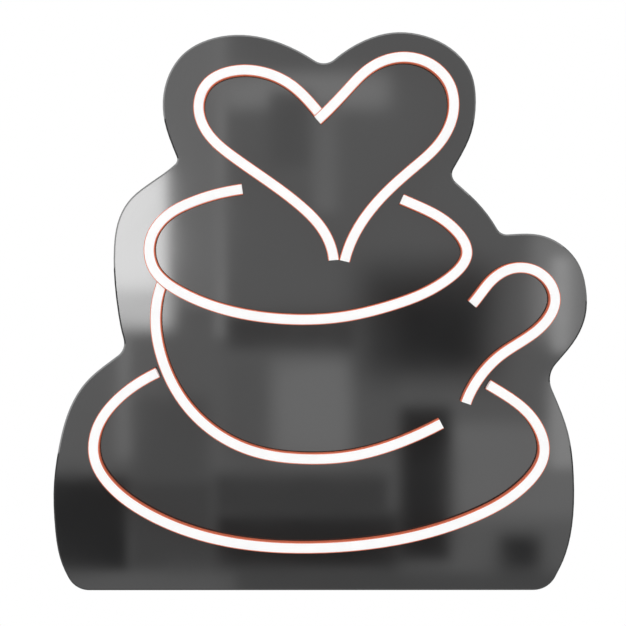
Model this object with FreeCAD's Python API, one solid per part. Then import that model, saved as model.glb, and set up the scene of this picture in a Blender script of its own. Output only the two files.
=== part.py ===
import FreeCAD, Part
import math
import os

# Wall-hung light sign: six bent LED light tubes (two halves of a heart, the rim and bowl of a cup,
# its handle and its saucer) let into a contour-cut acrylic board, with the wiring, a control box
# and four hidden stud fixings behind it.
#
# Frame: X to the right, Z up, Y from the front of the sign to the wall. The origin is the middle of
# the four wall studs, in the plane of the wall. Everything is in millimetres.

V = FreeCAD.Vector

# --- Board ------------------------------------------------------------------------------------
BOARD_THICKNESS = 6.0
BOARD_BEVEL = 1.2          # polished bevel round the front edge
GROOVE_DEPTH = 3.0         # channel that each light tube is let into
GROOVE_CLEARANCE = 0.15

# --- Light tubes: a jacket (open channel) closed by a diffuser, with an LED strip inside ----------
TUBE_WIDTH = 8.0
TUBE_DEPTH = 16.0          # groove floor to lip
LIP = 0.5                  # jacket wall beside the diffuser
JACKET_WALL = 1.5          # jacket wall beside the LED strip
JACKET_FLOOR = 1.5
DIFFUSER_DEPTH = 10.0      # lip to the underside of the diffuser
DIFFUSER_CROWN = 0.5       # diffuser standing out of the lips
DIFFUSER_ROUNDING = 0.45
PLUG_LENGTH = 2.0          # white plug in each end of a tube
BUTT_GAP = 0.2             # where one tube ends against the side of another
FEED_INSET = 9.0           # middle of the feed hole, from the end of the tube

STRIP_CLEARANCE = 0.25     # each side of the flexible circuit
STRIP_THICKNESS = 0.4
LED_PITCH = 25.0 / 3
LED_LENGTH = 3.0
LED_WIDTH = 2.8
LED_HEIGHT = 0.9

# --- Feed leads on the back of the board -----------------------------------------------------------
LEAD_DIAMETER = 2.4
LEAD_LIE = 1.5             # centre of a lead above the back of the board
LEAD_ARCH = 6.5            # top of its arch as it leaves its hole
LEAD_ARCH_RUN = 18.0       # length over which the arch comes down to the board
LEAD_HOLE_CLEARANCE = 0.15
LEAD_BEND_SHARE = 0.45     # share of the shorter run that a bend may take up
LEAD_BEND_LIMIT = 60.0     # largest bend radius
LEAD_ENTRY_RUN = 10.0      # straight stretch outside the control box
FEED_HOLE_DIAMETER = 6.0
GROMMET_FIT = 0.05
GROMMET_FLANGE_DIAMETER = 9.0
GROMMET_FLANGE_THICKNESS = 1.2
CLIP_LENGTH = 6.0
CLIP_WIDTH = 8.0
CLIP_HEIGHT = 3.6
CLIP_ROUNDING = 1.2

# --- Hidden wall fixing -----------------------------------------------------------------------------
STANDOFF = 22.0            # wall to the back of the board
STUD_SPACING_X = 150.0
STUD_SPACING_Z = 285.0
STUD_CENTRE_HEIGHT = 202.5  # middle of the stud pattern above the lower edge of the board
STUD_DIAMETER = 6.0        # part in the wall
STUD_SHANK_DIAMETER = 5.0  # machine thread through the sleeve into the boss
STUD_IN_WALL = 38.0
STUD_TIP_CHAMFER = 0.8
STUD_FIT = 0.05
BOSS_DIAMETER = 26.0
BOSS_THICKNESS = 8.0
BOSS_FLOOR = 1.5           # left under the blind hole
BOSS_EDGE_ROUNDING = 0.8
SLEEVE_DIAMETER = 14.0
SLEEVE_CLEARANCE = 0.3

# --- Control box ------------------------------------------------------------------------------------
BOX_WIDTH = 104.0
BOX_HEIGHT = 60.0
BOX_DEPTH = 16.0           # tray without its lid
BOX_WALL = 2.0
BOX_CORNER_RADIUS = 4.0
BOX_RISE = 12.0            # lower edge of the board to the lower wall of the box
LID_THICKNESS = 2.0
LID_RIM_DEPTH = 2.0
LID_RIM_WALL = 1.2
LID_CLEARANCE = 0.2
LID_EDGE_BEVEL = 0.6

PILLAR_DIAMETER = 6.0      # lid screw pillars in the corners of the tray
PILLAR_INSET = 5.5         # pillar centre from the outer wall faces
LID_SCREW_DIAMETER = 2.6
LID_SCREW_LENGTH = 9.0
SCREW_FIT = 0.05
SCREW_CLEARANCE = 0.2
HEAD_RATIO = 1.9           # pan head across, by shank diameter
HEAD_HEIGHT_RATIO = 0.6
HEAD_ROUNDING_RATIO = 0.45  # rounding of a pan head, by its height
SLOT_RATIO = 0.28          # driver slot width and depth, by shank diameter

FIXING_DIAMETER = 3.0      # screws through the tray into the board
FIXING_REACH = 38.0        # screw centre either side of the middle of the box
FIXING_LOW = -22.0         # heights from the middle of the box
FIXING_HIGH = 14.0
INSERT_DIAMETER = 4.6      # threaded brass insert in the back of the board
INSERT_DEPTH = 4.0
INSERT_MARGIN = 0.4        # screw end short of the insert's end

# --- Distribution board in the control box ---------------------------------------------------------
PCB_LENGTH = 66.0
PCB_WIDTH = 26.0
PCB_THICKNESS = 1.6
PCB_MIDDLE = 10.0          # its middle above the middle of the box
PCB_POST_HEIGHT = 3.0
PCB_POST_DIAMETER = 5.0
PCB_SCREW_INSET = 3.5
PCB_SCREW_DIAMETER = 2.0
PCB_SCREW_LENGTH = 5.0
TERMINAL_PITCH = 10.0
TERMINAL_WIDTH = 9.6
TERMINAL_LENGTH = 8.0
TERMINAL_HEIGHT = 7.0
TERMINAL_EDGE = 1.0        # terminal block to the edge of the circuit board
TERMINAL_AXIS = 3.0        # wire entry above the circuit board
TERMINAL_SCREW_DIAMETER = 2.6
TERMINAL_SCREW_DEPTH = 1.2
TERMINAL_SCREW_PITCH = 4.8
ENTRY_DEPTH = 4.0

# --- DC inlet: panel jack for a 5.5 x 2.1 mm plug --------------------------------------------------
JACK_OFFSET = -24.0        # its axis from the middle of the box
JACK_THREAD_DIAMETER = 8.0
JACK_FIT = 0.1
JACK_FLANGE_DIAMETER = 11.0
JACK_FLANGE_THICKNESS = 1.6
JACK_LENGTH = 13.0         # behind the flange
JACK_SOCKET_DIAMETER = 5.6
JACK_SOCKET_DEPTH = 9.5
JACK_PIN_DIAMETER = 2.1
JACK_PIN_RECESS = 0.6
JACK_NUT_WIDTH = 10.0      # across flats
JACK_NUT_THICKNESS = 2.2
TAG_WIDTH = 2.0
TAG_THICKNESS = 0.5
TAG_LENGTH = 4.5
TAG_SPACING = 4.0

# --- Rocker switch ------------------------------------------------------------------------------------
SWITCH_OFFSET = 24.0       # its middle from the middle of the box
SWITCH_BEZEL_LENGTH = 21.0
SWITCH_BEZEL_WIDTH = 15.0
SWITCH_BEZEL_THICKNESS = 2.0
SWITCH_BEZEL_ROUNDING = 1.0
SWITCH_BODY_LENGTH = 18.8
SWITCH_BODY_WIDTH = 12.6
SWITCH_BODY_DEPTH = 13.0
SWITCH_FIT = 0.1
SWITCH_WALL = 1.1
SWITCH_FLOOR = 3.0
ROCKER_END_RADIUS = 8.0
ROCKER_CLEARANCE = 0.3
ROCKER_TILT = 9.0          # degrees to each side
ROCKER_PIVOT_DEPTH = 1.0   # pivot behind the outer face of the box wall
ROCKER_FACE = 2.2          # pivot to the fold of the rocker's face
ROCKER_SKIRT = 0.6         # pivot to the inner side of the rocker
ROCKER_LEG_LENGTH = 5.5
ROCKER_LEG_ROOT = 2.5      # half width of the inner leg at the rocker
ROCKER_LEG_TIP = 1.2       # half width of the inner leg at its end
ROCKER_EDGE_ROUNDING = 0.35
TRUNNION_DIAMETER = 2.0
TRUNNION_CLEARANCE = 0.06
TRUNNION_SHORT = 0.3       # end of a trunnion inside the outer face of the housing
BLADE_WIDTH = 4.8
BLADE_THICKNESS = 0.8
BLADE_LENGTH = 7.0
BLADE_SPACING = 9.0

# --- Wires inside the control box -------------------------------------------------------------------
WIRE_DIAMETER = 1.6
WIRE_BOW = 4.0             # wires cross the box this far nearer to the lid or to the tray's floor
WIRE_HEIGHT = 7.0          # height at which they cross, above the jack's tags
WIRE_RISE = 4.0            # straight stretch of the supply wire above the jack
WIRE_SIDE = 9.0            # sideways run in which a wire changes its level
WIRE_ENTRY = 9.0           # straight stretch into the input terminal

# Levels along Y
BACK = -STANDOFF
FRONT = BACK - BOARD_THICKNESS
GROOVE_FLOOR = FRONT + GROOVE_DEPTH
TUBE_LIP = GROOVE_FLOOR - TUBE_DEPTH
STRIP_BACK = GROOVE_FLOOR - JACKET_FLOOR
DIFFUSER_BACK = TUBE_LIP + DIFFUSER_DEPTH
TRAY_RIM = BACK + BOX_DEPTH
TRAY_FLOOR = BACK + BOX_WALL
PCB_BACK = TRAY_FLOOR + PCB_POST_HEIGHT
PCB_FACE = PCB_BACK + PCB_THICKNESS
WIRE_LEVEL = PCB_FACE + TERMINAL_AXIS
PORT_LEVEL = (BACK + TRAY_RIM + LID_THICKNESS) / 2

BOX_LOW = BOX_RISE - STUD_CENTRE_HEIGHT
BOX_MIDDLE = BOX_LOW + BOX_HEIGHT / 2
BOX_TOP = BOX_LOW + BOX_HEIGHT

# Outlines are drawn in the plane of the board: x from its middle, z from its lower edge.
# Board: the lobes between its notches, and each notch or corner with its inside radius.
NOTCHES = {
    "heart": (3.8, 391.8, 12.4),
    "cup_left": (-106.1, 322.3, 5.0),
    "saucer_left": (-144.9, 181.5, 11.7),
    "corner_left": (-183.0, 0.0, 17.5),
    "corner_right": (171.3, 0.0, 18.5),
    "saucer_right": (169.7, 160.8, 18.0),
    "cup_right": (135.1, 266.9, 8.8),
    "heart_right": (97.0, 311.1, 7.8),
}
LOBES = [
    ("heart", [(-28.0, 410.0), (-55.0, 416.4), (-81.2, 413.8), (-102.6, 402.2), (-115.0, 382.1),
               (-117.4, 357.2), (-110.2, 332.3)], "cup_left"),
    ("cup_left", [(-129.1, 304.7), (-143.5, 292.2), (-151.4, 277.1), (-154.5, 257.6),
                  (-154.4, 236.0), (-152.2, 213.8), (-148.0, 191.2)], "saucer_left"),
    ("saucer_left", [(-162.4, 168.5), (-175.3, 157.0), (-188.6, 135.0), (-196.2, 107.3),
                     (-200.0, 77.7), (-199.2, 48.3), (-194.2, 20.7), (-189.2, 9.8)], "corner_left"),
    ("corner_left", [], "corner_right"),
    ("corner_right", [(177.2, 10.6), (183.1, 22.8), (190.0, 52.4), (190.7, 85.6),
                      (186.6, 117.6), (175.9, 146.9)], "saucer_right"),
    ("saucer_right", [(179.7, 173.1), (192.1, 188.9), (199.4, 206.9), (199.6, 226.5),
                      (194.1, 245.1), (182.4, 258.7), (165.9, 266.7), (147.5, 267.7)], "cup_right"),
    ("cup_right", [(124.1, 284.3), (114.8, 294.6), (104.3, 304.1)], "heart_right"),
    ("heart_right", [(102.4, 320.5), (113.2, 342.8), (116.7, 366.9), (112.9, 388.7),
                     (99.6, 405.4), (79.1, 415.8), (55.8, 418.5), (33.1, 412.5)], "heart"),
]

# Light tubes: centre line, the tube that the start butts on, which end is fed, and the way its
# lead takes down the back of the board to the control box.
TUBES = {
    "heart_left": {
        "centre": [(-1.3, 358.0), (-10.4, 368.5), (-20.4, 377.6), (-42.2, 387.9),
                   (-66.3, 388.6), (-84.0, 379.6), (-90.5, 362.3), (-83.9, 342.9),
                   (-65.1, 325.3), (-40.0, 307.7), (-15.6, 289.3), (2.2, 270.2),
                   (8.0, 258.1), (10.1, 248.1)],
        "butts_on": "heart_right",
        "fed_at": "end",
        "lead": [(-6.0, 228.0), (-15.0, 190.0), (-15.0, 98.0)],
    },
    "heart_right": {
        "centre": [(-1.9, 352.5), (9.1, 363.1), (19.1, 373.7), (38.6, 392.1),
                   (60.4, 399.2), (82.3, 394.0), (96.5, 378.8), (99.0, 357.1),
                   (89.3, 335.9), (68.4, 315.9), (45.9, 295.1), (28.5, 272.4),
                   (18.2, 247.3)],
        "butts_on": None,
        "fed_at": "end",
        "lead": [(8.0, 224.0), (-5.0, 186.0), (-5.0, 98.0)],
    },
    "cup_rim": {
        "centre": [(-58.2, 301.0), (-76.2, 297.6), (-96.4, 291.0), (-114.6, 280.9),
                   (-126.6, 262.8), (-124.9, 243.4), (-101.4, 222.9), (-64.9, 209.6),
                   (-23.8, 204.0), (16.9, 205.8), (57.0, 215.5), (92.3, 231.9),
                   (109.5, 253.4), (95.4, 275.6), (78.5, 285.8), (60.9, 293.5)],
        "butts_on": None,
        "fed_at": "start",
        "lead": [(-60.0, 264.0), (-46.0, 205.0), (-29.0, 158.0), (-25.0, 98.0)],
    },
    "cup_bowl": {
        "centre": [(-116.1, 235.3), (-122.8, 205.0), (-117.2, 172.2), (-101.9, 142.4),
                   (-78.0, 119.1), (-48.1, 104.9), (-13.3, 99.8), (22.3, 101.6), (56.8, 110.9),
                   (90.5, 126.1)],
        "butts_on": "cup_rim",
        "fed_at": "end",
        "lead": [(58.0, 112.0), (34.0, 106.0), (25.0, 96.0)],
    },
    "cup_handle": {
        "centre": [(113.6, 215.3), (120.4, 224.0), (127.7, 232.8), (142.3, 241.6),
                   (158.2, 241.1), (170.9, 231.7), (175.3, 218.5), (169.2, 203.2),
                   (154.3, 190.0), (134.2, 176.7), (119.2, 160.9), (108.8, 141.4)],
        "butts_on": None,
        "fed_at": "end",
        "lead": [(88.0, 158.0), (44.0, 154.0), (12.0, 138.0), (5.0, 98.0)],
    },
    "saucer": {
        "centre": [(-121.6, 164.1), (-137.1, 155.4), (-153.0, 142.4), (-166.7, 121.9),
                   (-168.3, 99.7), (-157.1, 80.2), (-130.7, 59.8), (-92.9, 43.7),
                   (-51.7, 35.2), (-8.6, 33.0), (34.5, 35.7), (76.8, 43.4), (116.7, 57.0),
                   (150.2, 77.3), (167.3, 104.3), (156.5, 132.5), (141.0, 145.6),
                   (125.8, 155.0)],
        "butts_on": None,
        "fed_at": "end",
        "lead": [(116.0, 137.0), (76.0, 136.0), (34.0, 130.0), (15.0, 98.0)],
    },
}
ENTRY_ORDER = ["cup_rim", "heart_left", "heart_right", "cup_handle", "saucer", "cup_bowl"]

SAMPLE_PITCH = 6.0         # spacing of the points that carry an offset side line
OVERRUN = 4.0              # side lines run on this far before the ends are cut


# --- General helpers --------------------------------------------------------------------------------
def on_board(x, z, y=0.0):
    """Point of the model from a point of the drawing."""
    return V(x, y, z - STUD_CENTRE_HEIGHT)


def cylinder(diameter, base, direction, length):
    return Part.makeCylinder(diameter / 2, length, base, direction)


def block(x_range, y_range, z_range):
    """Box between two values on each axis."""
    size = [high - low for low, high in (x_range, y_range, z_range)]
    return Part.makeBox(*size, V(x_range[0], y_range[0], z_range[0]))


def centred(middle, size):
    return (middle - size / 2, middle + size / 2)


def rounded_slab(x_range, z_range, radius, y_range):
    """Plate in the plane of the board with round corners."""
    slab = block(x_range, y_range, z_range)
    edges = [edge for edge in slab.Edges if abs(edge.tangentAt(edge.FirstParameter).y) > 0.9]
    return slab.makeFillet(radius, edges)


def edges_at(shape, y):
    """Edges that lie in the plane at this y."""
    return [edge for edge in shape.Edges
            if all(abs(v.Point.y - y) < 1e-4 for v in edge.Vertexes)
            and abs(edge.valueAt((edge.FirstParameter + edge.LastParameter) / 2).y - y) < 1e-4]


def pan_screw(diameter, length, head_seat, direction):
    """Pan head screw: the shank goes from head_seat along direction, the head stands the other way."""
    head_diameter = diameter * HEAD_RATIO
    head_height = diameter * HEAD_HEIGHT_RATIO
    slot = diameter * SLOT_RATIO
    head = cylinder(head_diameter, head_seat, direction * -1, head_height)
    crown = [edge for edge in head.Edges
             if abs((edge.CenterOfMass - head_seat).dot(direction) + head_height) < 1e-6
             and len(edge.Vertexes) == 1]
    head = head.makeFillet(head_height * HEAD_ROUNDING_RATIO, crown)
    shank = cylinder(diameter, head_seat, direction, length)
    screw = head.fuse(shank).removeSplitter()
    groove = Part.makeBox(head_diameter * 2, slot, slot * 2,
                          V(-head_diameter, -slot / 2, head_height - slot))
    groove.Placement = FreeCAD.Placement(head_seat, FreeCAD.Rotation(V(0, 0, 1), direction * -1))
    return screw.cut(groove)


def rounded_route(points):
    """Straight runs through the points, with a tangent arc at each corner."""
    edges = []
    start = points[0]
    for before, corner, after in zip(points, points[1:], points[2:]):
        back = before - corner
        ahead = after - corner
        shorter = min(back.Length, ahead.Length)
        back.normalize()
        ahead.normalize()
        half_turn = (math.pi - back.getAngle(ahead)) / 2
        radius = min(LEAD_BEND_LIMIT, LEAD_BEND_SHARE * shorter / math.tan(half_turn))
        reach = radius * math.tan(half_turn)
        inward = back + ahead
        inward.normalize()
        first = corner + back * reach
        middle = corner + inward * (radius / math.cos(half_turn) - radius)
        last = corner + ahead * reach
        edges.append(Part.LineSegment(start, first).toShape())
        edges.append(Part.Arc(first, middle, last).toShape())
        start = last
    edges.append(Part.LineSegment(start, points[-1]).toShape())
    return Part.Wire(edges)


def cable(points, diameter):
    """Round cable along a rounded route."""
    path = rounded_route(points)
    direction = points[1] - points[0]
    section = Part.Wire(Part.makeCircle(diameter / 2, points[0], direction))
    return path.makePipeShell([section], True, False)


# --- Light tube geometry ---------------------------------------------------------------------------
def spline(points):
    curve = Part.BSplineCurve()
    curve.interpolate(points)
    return curve


CENTRES = {name: spline([on_board(x, z) for x, z in tube["centre"]]).toShape()
           for name, tube in TUBES.items()}


def point_along(name, length):
    """Point and unit tangent of a centre line at a length from its start."""
    line = CENTRES[name]
    parameter = line.getParameterByLength(length)
    return line.valueAt(parameter), line.tangentAt(parameter)


def end_face(name, end):
    """Middle of a tube's end face and the outward direction square to it."""
    line = CENTRES[name]
    if end == "end":
        return point_along(name, line.Length)
    point, tangent = point_along(name, 0)
    neighbour = TUBES[name]["butts_on"]
    if neighbour is None:
        return point, tangent * -1
    side = CENTRES[neighbour]
    nearest = side.Curve.parameter(point)
    along = side.tangentAt(nearest)
    outward = V(-along.z, 0, along.x)
    if outward.dot(tangent) > 0:
        outward = outward * -1
    return side.valueAt(nearest) - outward * (TUBE_WIDTH / 2 + BUTT_GAP), outward


def end_block(name, end, inset, length):
    """Block across a tube, from inset inside its end face outward over length."""
    point, outward = end_face(name, end)
    width = 3 * TUBE_WIDTH
    depth = 4 * TUBE_DEPTH
    shape = Part.makeBox(length, depth, width, V(-inset, -depth / 2, -width / 2))
    angle = -math.degrees(math.atan2(outward.z, outward.x))
    middle = V(point.x, FRONT, point.z)
    shape.Placement = FreeCAD.Placement(middle, FreeCAD.Rotation(V(0, 1, 0), angle))
    return shape


def ribbon(name, half_width, y_range, inset):
    """Solid that follows a tube's centre line, its ends cut inset inside the end faces."""
    line = CENTRES[name]
    steps = int(line.Length / SAMPLE_PITCH)
    stations = [point_along(name, line.Length * i / steps) for i in range(steps + 1)]
    sides = []
    for side in (1, -1):
        points = [point + V(-t.z, 0, t.x) * side * half_width for point, t in stations]
        before = points[0] - stations[0][1] * OVERRUN
        after = points[-1] + stations[-1][1] * OVERRUN
        sides.append((before, points, after))
    edges = []
    for before, points, after in sides:
        edges.append(Part.LineSegment(before, points[0]).toShape())
        edges.append(spline(points).toShape())
        edges.append(Part.LineSegment(points[-1], after).toShape())
    edges.append(Part.LineSegment(sides[0][0], sides[1][0]).toShape())
    edges.append(Part.LineSegment(sides[0][2], sides[1][2]).toShape())
    face = Part.Face(Part.Wire(Part.__sortEdges__(edges)))
    face.translate(V(0, y_range[0], 0))
    solid = face.extrude(V(0, y_range[1] - y_range[0], 0))
    for end in ("start", "end"):
        solid = solid.cut(end_block(name, end, inset, 4 * OVERRUN + inset))
    return solid


def feed_point(name):
    """Middle of a tube's feed hole, in the plane of its centre line."""
    if TUBES[name]["fed_at"] == "start":
        return point_along(name, FEED_INSET)[0]
    return point_along(name, CENTRES[name].Length - FEED_INSET)[0]


def feed_bore(name, diameter, y_range):
    point = feed_point(name)
    return cylinder(diameter, V(point.x, y_range[0], point.z), V(0, 1, 0), y_range[1] - y_range[0])


# --- Board -----------------------------------------------------------------------------------------
def board_blank():
    """Contour-cut board with its notches rounded and its front edge bevelled."""
    edges = []
    for start, points, finish in LOBES:
        line = [NOTCHES[start][:2]] + points + [NOTCHES[finish][:2]]
        line = [on_board(x, z) for x, z in line]
        if points:
            edges.append(spline(line).toShape())
        else:
            edges.append(Part.LineSegment(line[0], line[1]).toShape())
    face = Part.Face(Part.Wire(edges))
    face.translate(V(0, FRONT, 0))
    board = face.extrude(V(0, BOARD_THICKNESS, 0))
    for x, z, radius in NOTCHES.values():
        corner = on_board(x, z)
        upright = [edge for edge in board.Edges
                   if all(math.hypot(v.X - corner.x, v.Z - corner.z) < 0.01 for v in edge.Vertexes)]
        board = board.makeFillet(radius, upright)
    return board.makeChamfer(BOARD_BEVEL, edges_at(board, FRONT))


def insert_points():
    return [V(side * FIXING_REACH, BACK, BOX_MIDDLE + height)
            for side in (-1, 1) for height in (FIXING_LOW, FIXING_HIGH)]


def make_board():
    board = board_blank()
    for name in TUBES:
        half = TUBE_WIDTH / 2 + GROOVE_CLEARANCE
        if TUBES[name]["butts_on"]:
            inset = -GROOVE_CLEARANCE - BUTT_GAP
        else:
            inset = -GROOVE_CLEARANCE
        board = board.cut(ribbon(name, half, (FRONT - 1, GROOVE_FLOOR), inset))
    for name in TUBES:
        board = board.cut(feed_bore(name, FEED_HOLE_DIAMETER, (FRONT - 1, BACK + 1)))
    for point in insert_points():
        board = board.cut(cylinder(INSERT_DIAMETER, point, V(0, -1, 0), INSERT_DEPTH))
    return board


# --- Light tube pieces -----------------------------------------------------------------------------
STRIP_HALF = TUBE_WIDTH / 2 - JACKET_WALL
DIFFUSER_HALF = TUBE_WIDTH / 2 - LIP
LEAD_BORE = LEAD_DIAMETER + 2 * LEAD_HOLE_CLEARANCE


def make_jacket(name):
    """Channel: floor, thick walls beside the strip and thin lips beside the diffuser."""
    jacket = ribbon(name, TUBE_WIDTH / 2, (TUBE_LIP, GROOVE_FLOOR), 0)
    jacket = jacket.cut(ribbon(name, DIFFUSER_HALF, (TUBE_LIP - 1, DIFFUSER_BACK), -OVERRUN))
    jacket = jacket.cut(ribbon(name, STRIP_HALF, (DIFFUSER_BACK - 1, STRIP_BACK), -OVERRUN))
    return jacket.cut(feed_bore(name, LEAD_BORE, (STRIP_BACK - 1, GROOVE_FLOOR + 1)))


def make_diffuser(name):
    """Milky bar that closes the channel, with soft edges on its light face."""
    face = TUBE_LIP - DIFFUSER_CROWN
    bar = ribbon(name, DIFFUSER_HALF, (face, DIFFUSER_BACK), PLUG_LENGTH)
    long_edges = [edge for edge in edges_at(bar, face) if edge.Length > 2 * TUBE_WIDTH]
    return bar.makeFillet(DIFFUSER_ROUNDING, long_edges)


def make_end_plugs(name):
    """Plug in each end of the tube: wide between the lips, narrow beside the strip."""
    face = TUBE_LIP - DIFFUSER_CROWN
    wide = ribbon(name, DIFFUSER_HALF, (face, DIFFUSER_BACK), 0)
    narrow = ribbon(name, STRIP_HALF, (DIFFUSER_BACK, STRIP_BACK), 0)
    whole = wide.fuse(narrow).removeSplitter()
    plugs = [whole.common(end_block(name, end, PLUG_LENGTH, PLUG_LENGTH + OVERRUN))
             for end in ("start", "end")]
    return Part.makeCompound([solid for plug in plugs for solid in plug.Solids])


def meets_plug(name, length):
    """Whether an LED package at this length along the tube would reach one of its end plugs."""
    point = point_along(name, length)[0]
    for end, from_end in (("start", length), ("end", CENTRES[name].Length - length)):
        face, outward = end_face(name, end)
        if from_end < 2 * TUBE_DEPTH and (face - point).dot(outward) < PLUG_LENGTH + LED_LENGTH:
            return True
    return False


def make_strip(name):
    """Flexible circuit on the floor of the channel, with its LED packages."""
    half = STRIP_HALF - STRIP_CLEARANCE
    strip_face = STRIP_BACK - STRIP_THICKNESS
    pieces = [ribbon(name, half, (strip_face, STRIP_BACK), PLUG_LENGTH)]
    for i in range(1, int(CENTRES[name].Length / LED_PITCH)):
        if meets_plug(name, i * LED_PITCH):
            continue
        point, tangent = point_along(name, i * LED_PITCH)
        chip = Part.makeBox(LED_LENGTH, LED_HEIGHT, LED_WIDTH,
                            V(-LED_LENGTH / 2, -LED_HEIGHT, -LED_WIDTH / 2))
        angle = -math.degrees(math.atan2(tangent.z, tangent.x))
        seat = V(point.x, strip_face, point.z)
        chip.Placement = FreeCAD.Placement(seat, FreeCAD.Rotation(V(0, 1, 0), angle))
        pieces.append(chip)
    return Part.makeCompound([solid for piece in pieces for solid in piece.Solids])


# --- Leads, grommets and clips -----------------------------------------------------------------------
def entry_x(name):
    """Place of a lead across the top wall of the control box."""
    middle = (len(ENTRY_ORDER) - 1) / 2
    return (ENTRY_ORDER.index(name) - middle) * TERMINAL_PITCH


def terminal_face():
    """Height of the wire faces of the output terminals."""
    return BOX_MIDDLE + PCB_MIDDLE + PCB_WIDTH / 2 - TERMINAL_EDGE


def lead_points(name):
    """Corners of a lead's route: out of its hole, along the back, into its terminal."""
    hole = feed_point(name)
    lie = BACK + LEAD_LIE
    way = [on_board(x, z, lie) for x, z in TUBES[name]["lead"]]
    arch = V(hole.x, BACK + LEAD_ARCH, hole.z)
    heading = V(way[0].x - hole.x, 0, way[0].z - hole.z)
    heading.normalize()
    landing = V(hole.x, lie, hole.z) + heading * LEAD_ARCH_RUN
    entry = V(entry_x(name), WIRE_LEVEL, BOX_TOP + LEAD_ENTRY_RUN)
    inside = V(entry_x(name), WIRE_LEVEL, terminal_face() - ENTRY_DEPTH)
    return [V(hole.x, STRIP_BACK, hole.z), arch, landing] + way + [entry, inside]


def make_grommets():
    """Rubber bushes that line the feed holes, each with a flange on the back of the board."""
    rings = []
    for name in TUBES:
        sleeve = feed_bore(name, FEED_HOLE_DIAMETER - 2 * GROMMET_FIT, (GROOVE_FLOOR, BACK))
        flange_top = BACK + GROMMET_FLANGE_THICKNESS
        flange = feed_bore(name, GROMMET_FLANGE_DIAMETER, (BACK, flange_top))
        ring = sleeve.fuse(flange).cut(feed_bore(name, LEAD_BORE, (GROOVE_FLOOR - 1, flange_top + 1)))
        rings.append(ring)
    return Part.makeCompound([solid for ring in rings for solid in ring.Solids])


def make_clips():
    """Bonded saddles, one at the middle of each long run of the leads."""
    saddles = []
    for name in TUBES:
        corners = lead_points(name)[2:-2]
        for start, finish in zip(corners, corners[1:]):
            run = finish - start
            if run.Length < 3 * CLIP_LENGTH:
                continue
            middle = (start + finish) * 0.5
            run.normalize()
            saddle = Part.makeBox(CLIP_LENGTH, CLIP_HEIGHT, CLIP_WIDTH,
                                  V(-CLIP_LENGTH / 2, -LEAD_LIE, -CLIP_WIDTH / 2))
            crown = [edge for edge in edges_at(saddle, CLIP_HEIGHT - LEAD_LIE)
                     if abs(edge.CenterOfMass.z) > CLIP_WIDTH / 4]
            saddle = saddle.makeFillet(CLIP_ROUNDING, crown)
            saddle = saddle.cut(cylinder(LEAD_BORE, V(-CLIP_LENGTH, 0, 0), V(1, 0, 0),
                                         2 * CLIP_LENGTH))
            angle = -math.degrees(math.atan2(run.z, run.x))
            saddle.Placement = FreeCAD.Placement(middle, FreeCAD.Rotation(V(0, 1, 0), angle))
            saddles.extend(saddle.Solids)
    return Part.makeCompound(saddles)


# --- Wall fixing -------------------------------------------------------------------------------------
def stud_points():
    return [V(x, 0, z) for x in (-STUD_SPACING_X / 2, STUD_SPACING_X / 2)
            for z in (-STUD_SPACING_Z / 2, STUD_SPACING_Z / 2)]


def make_boss(point):
    """Acrylic disc bonded to the back of the board, with a blind threaded hole."""
    seat = V(point.x, BACK, point.z)
    boss = cylinder(BOSS_DIAMETER, seat, V(0, 1, 0), BOSS_THICKNESS)
    boss = boss.makeFillet(BOSS_EDGE_ROUNDING, edges_at(boss, BACK + BOSS_THICKNESS))
    bore = cylinder(STUD_SHANK_DIAMETER + 2 * STUD_FIT, seat + V(0, BOSS_FLOOR, 0), V(0, 1, 0),
                    BOSS_THICKNESS)
    return boss.cut(bore)


def make_stud(point):
    """Hanger stud: machine thread from the boss through the sleeve, thicker part in the wall."""
    start = V(point.x, BACK + BOSS_FLOOR, point.z)
    shank = cylinder(STUD_SHANK_DIAMETER, start, V(0, 1, 0), -start.y)
    in_wall = cylinder(STUD_DIAMETER, V(point.x, 0, point.z), V(0, 1, 0), STUD_IN_WALL)
    in_wall = in_wall.makeChamfer(STUD_TIP_CHAMFER, edges_at(in_wall, STUD_IN_WALL))
    return shank.fuse(in_wall)


def make_sleeve(point):
    """Spacer between the boss and the wall."""
    start = V(point.x, BACK + BOSS_THICKNESS, point.z)
    length = STANDOFF - BOSS_THICKNESS
    sleeve = cylinder(SLEEVE_DIAMETER, start, V(0, 1, 0), length)
    bore = STUD_DIAMETER + 2 * SLEEVE_CLEARANCE
    return sleeve.cut(cylinder(bore, start, V(0, 1, 0), length))


# --- Control box --------------------------------------------------------------------------------------
def pillar_points(y):
    reach_x = BOX_WIDTH / 2 - PILLAR_INSET
    reach_z = BOX_HEIGHT / 2 - PILLAR_INSET
    return [V(i * reach_x, y, BOX_MIDDLE + k * reach_z) for i in (-1, 1) for k in (-1, 1)]


def pcb_screw_points(y):
    reach_x = PCB_LENGTH / 2 - PCB_SCREW_INSET
    middle = BOX_MIDDLE + PCB_MIDDLE
    low = middle - PCB_WIDTH / 2 + PCB_SCREW_INSET
    return [V(i * reach_x, y, low) for i in (-1, 1)]


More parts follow.
